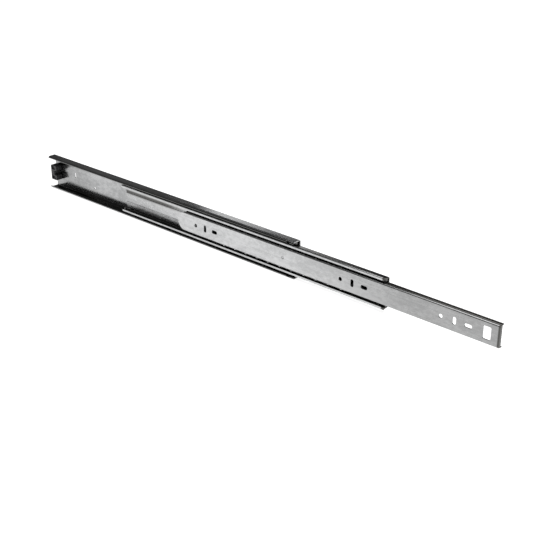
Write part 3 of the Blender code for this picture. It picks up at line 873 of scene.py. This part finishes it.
def slab(name, outline, back_depth, front_depth, easing):
    """A flat moulding with an outline in x and z, its edges eased."""
    bm = carried(outline, back_depth, front_depth - back_depth)
    made = object_of(name, mesh_of(bm, name))
    edge = made.modifiers.new("edge", "BEVEL")
    edge.width = easing * MM
    edge.segments = 3
    edge.limit_method = "ANGLE"
    edge.angle_limit = math.radians(50)
    return made


LOBE_LENGTH = 5.0
NOTCH_HALF = 3.0
OUTER_CORNER = 1.6
NOTCH_CORNER = 1.4
BUMPER_DEPTHS = (1.5, 11.0)
PEG = 4.0
PEG_FROM_BUMPER = 6.0
POCKET_MIDDLE = 6.9
POCKET_HALF = 2.4
POCKET_IN = 2.2

low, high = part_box("rear_bumper")
back = low.x / MM
front = high.x / MM
half = high.z / MM
outline = rounded_outline(
    [
        (back, -half, OUTER_CORNER),
        (front, -half, OUTER_CORNER),
        (front, -NOTCH_HALF, NOTCH_CORNER),
        (front - LOBE_LENGTH, -NOTCH_HALF, NOTCH_CORNER),
        (front - LOBE_LENGTH, NOTCH_HALF, NOTCH_CORNER),
        (front, NOTCH_HALF, NOTCH_CORNER),
        (front, half, OUTER_CORNER),
        (back, half, OUTER_CORNER),
    ]
)
bumper = slab("bumper_moulding", outline, *BUMPER_DEPTHS, 0.5)
bm = bmesh.new()
lofted(bm, [outline_ring(bm, PEG, PEG, 0.0, along) for along in (-4.0, -0.4)])
peg = object_of("peg", mesh_of(bm, "peg"))
peg.data.transform(Matrix.Translation(((back + PEG_FROM_BUMPER) * MM, 0.0, 0.0)))
change(bumper, peg, "UNION")
for side in (1, -1):
    middle_height = side * POCKET_MIDDLE
    pocket_low = (back + POCKET_IN, 9.4, middle_height - POCKET_HALF)
    pocket_high = (front - POCKET_IN, 14.0, middle_height + POCKET_HALF)
    change(bumper, block(pocket_low, pocket_high, 0.3), "DIFFERENCE")
finished(bumper, "bumper_moulding", black, "cabinet", "black_plastic", "rear_bumper")

# ---------------------------------------------------------------------------
# Disconnect lever: a thin black moulding behind the drawer member's web. Its
# nose holds the drawer member on; a strip of the same plastic is its spring.
# ---------------------------------------------------------------------------
BOSS_RADIUS = 5.0
BOSS_STEPS = 32
ARM_HALF = 2.5
ARM_FROM_PIVOT = 5.8
PAD_LENGTH = 12.0
PAD_LOW = -4.3
LEVER_DEPTHS = (8.05, 11.15)
NOSE_LENGTH = 5.0
NOSE_HALF = 2.4
SPRING_DEPTH = 8.7
SPRING_THICKNESS = 1.9

low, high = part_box("disconnect_lever")
pivot = drawer_rear + RIVET_FROM_REAR
nose = high.x / MM
turns = [math.radians(30 + 300 * step / BOSS_STEPS) for step in range(BOSS_STEPS + 1)]
boss = [(pivot + BOSS_RADIUS * math.cos(turn), BOSS_RADIUS * math.sin(turn)) for turn in turns]
outline = boss + [
    (pivot + ARM_FROM_PIVOT, -ARM_HALF),
    (nose - PAD_LENGTH, -ARM_HALF),
    (nose - PAD_LENGTH + 1.0, PAD_LOW),
    (nose - 1.8, PAD_LOW),
    (nose - 1.0, -2.6),
    (nose, -NOSE_HALF),
    (nose, 2.2),
    (nose - 0.5, ARM_HALF),
    (pivot + ARM_FROM_PIVOT, ARM_HALF),
]
lever = slab("lever_moulding", outline, *LEVER_DEPTHS, 0.3)
nose_block = block((nose - NOSE_LENGTH, 6.4, -NOSE_HALF), (nose, 9.6, NOSE_HALF), 0.3)
change(lever, nose_block, "UNION")
strip = [(0.0, -0.6), (-8.0, 0.9), (-16.0, 3.2), (-23.4, 5.3), (-23.6, 6.2), (-16.0, 4.2)]
strip += [(-8.0, 2.0), (0.0, 0.6)]
strip = [(pivot + x, z) for x, z in strip]
spring = object_of("spring", mesh_of(carried(strip, SPRING_DEPTH, SPRING_THICKNESS), "spring"))
change(lever, spring, "UNION")
bm = bmesh.new()
lofted(bm, [outline_ring(bm, RIVET_HOLE, RIVET_HOLE, 0.0, along) for along in (-14.0, -5.0)])
hole = object_of("lever_hole", mesh_of(bm, "lever_hole"))
hole.data.transform(Matrix.Translation((pivot * MM, 0.0, 0.0)))
change(lever, hole, "DIFFERENCE")
finished(lever, "lever_moulding", black, "lever", "black_plastic", "disconnect_lever")

# ---------------------------------------------------------------------------
# Lever rivet: a headed steel pin, turned and left plain, that the lever
# swings on. Its shank is set flush with the drawer member's face.
# ---------------------------------------------------------------------------


def rivet_finish():
    made = Finish("headed_pin", 1.0)
    dull = made.noise((1.5, 1.5, 1.5), 3.0, 0.6)
    colour = made.blend(dull.clear(0.35, 0.7), (0.46, 0.46, 0.47), (0.34, 0.34, 0.34))
    made.feed(Base_Color=colour, Roughness=0.28 + dull * 0.2)
    made.bump(dull, 0.2, 0.00004)
    return made.material


pin = rivet_finish()
profile = [
    (0.0, 12.45),
    (0.7, 12.48),
    (1.1, 12.58),
    (1.35, 12.6),
    (1.5, 12.48),
    (1.5, 7.7),
    (2.9, 7.7),
    (3.15, 7.62),
    (3.2, 7.45),
    (3.0, 7.15),
    (2.4, 6.98),
    (1.2, 6.9),
    (0.0, 6.9),
]
bm = bmesh.new()
line = [bm.verts.new((radius * MM, -depth * MM, 0.0)) for radius, depth in profile]
edges = [bm.edges.new(pair) for pair in zip(line, line[1:])]
bmesh.ops.spin(
    bm,
    geom=line + edges,
    cent=(0.0, 0.0, 0.0),
    axis=(0.0, 1.0, 0.0),
    angle=math.tau,
    steps=48,
    use_merge=True,
)
bmesh.ops.remove_doubles(bm, verts=bm.verts[:], dist=0.001 * MM)
bmesh.ops.recalc_face_normals(bm, faces=bm.faces)
rivet = object_of("pin", mesh_of(bm, "pin"))
rivet.data.transform(Matrix.Translation((pivot * MM, 0.0, 0.0)))
finished(rivet, "lever_pin", pin, "drawer", "rivet_steel", "lever_rivet", sharp=50.0)

# ---------------------------------------------------------------------------
# The bench below the slide: a plain pale floor, two soft lights, the camera.
# ---------------------------------------------------------------------------
FLOOR_HALF = 8.0
FLOOR_GAP = 0.4
WHITE = (1.0, 1.0, 1.0, 1.0)
bm = bmesh.new()
bmesh.ops.create_grid(bm, x_segments=1, y_segments=1, size=FLOOR_HALF)
floor = object_of("floor", mesh_of(bm, "floor"))
floor.data.transform(Matrix.Translation((0.0, 0.0, cad_box[0].z - FLOOR_GAP * MM)))
pale = bpy.data.materials.new("pale_floor")
pale.use_nodes = True
paint = pale.node_tree.nodes["Principled BSDF"].inputs
paint["Base Color"].default_value = (0.86, 0.86, 0.86, 1.0)
paint["Roughness"].default_value = 0.8
paint["Specular IOR Level"].default_value = 0.2
paint["Emission Color"].default_value = WHITE
paint["Emission Strength"].default_value = 0.82
floor.data.materials.append(pale)


def softbox(name, place, aim, width, height, power):
    lamp = bpy.data.lights.new(name, "AREA")
    lamp.shape = "RECTANGLE"
    lamp.size = width
    lamp.size_y = height
    lamp.energy = power
    made = object_of(name, lamp)
    made.location = place
    made.rotation_mode = "QUATERNION"
    made.rotation_quaternion = (Vector(aim) - Vector(place)).to_track_quat("-Z", "Y")


softbox("overhead", (0.95, -0.3, 2.4), (0.95, -0.3, 0.0), 2.4, 3.0, 52.0)
softbox("back_panel", (-0.67, 1.16, 0.70), (0.185, 0.0, 0.0), 0.5, 0.4, 1.0)

world = bpy.data.worlds.new("room")
world.use_nodes = True
sky = world.node_tree.nodes["Background"].inputs
sky["Color"].default_value = WHITE
sky["Strength"].default_value = 0.1
bpy.context.scene.world = world
bpy.context.scene.view_settings.view_transform = "Standard"

azimuth = math.radians(42.44)
elevation = math.radians(24.69)
distance = 1.1686
target = Vector((0.1745, 0.0, -0.02725))
away = Vector(
    (
        math.sin(azimuth) * math.cos(elevation),
        -math.cos(azimuth) * math.cos(elevation),
        math.sin(elevation),
    )
)
lens = bpy.data.cameras.new("camera")
lens.lens = 67.3
lens.sensor_width = 36.0
lens.clip_start = 0.05
camera = object_of("camera", lens)
camera.location = target + away * distance
camera.rotation_mode = "QUATERNION"
camera.rotation_quaternion = (-away).to_track_quat("-Z", "Y")
bpy.context.scene.camera = camera
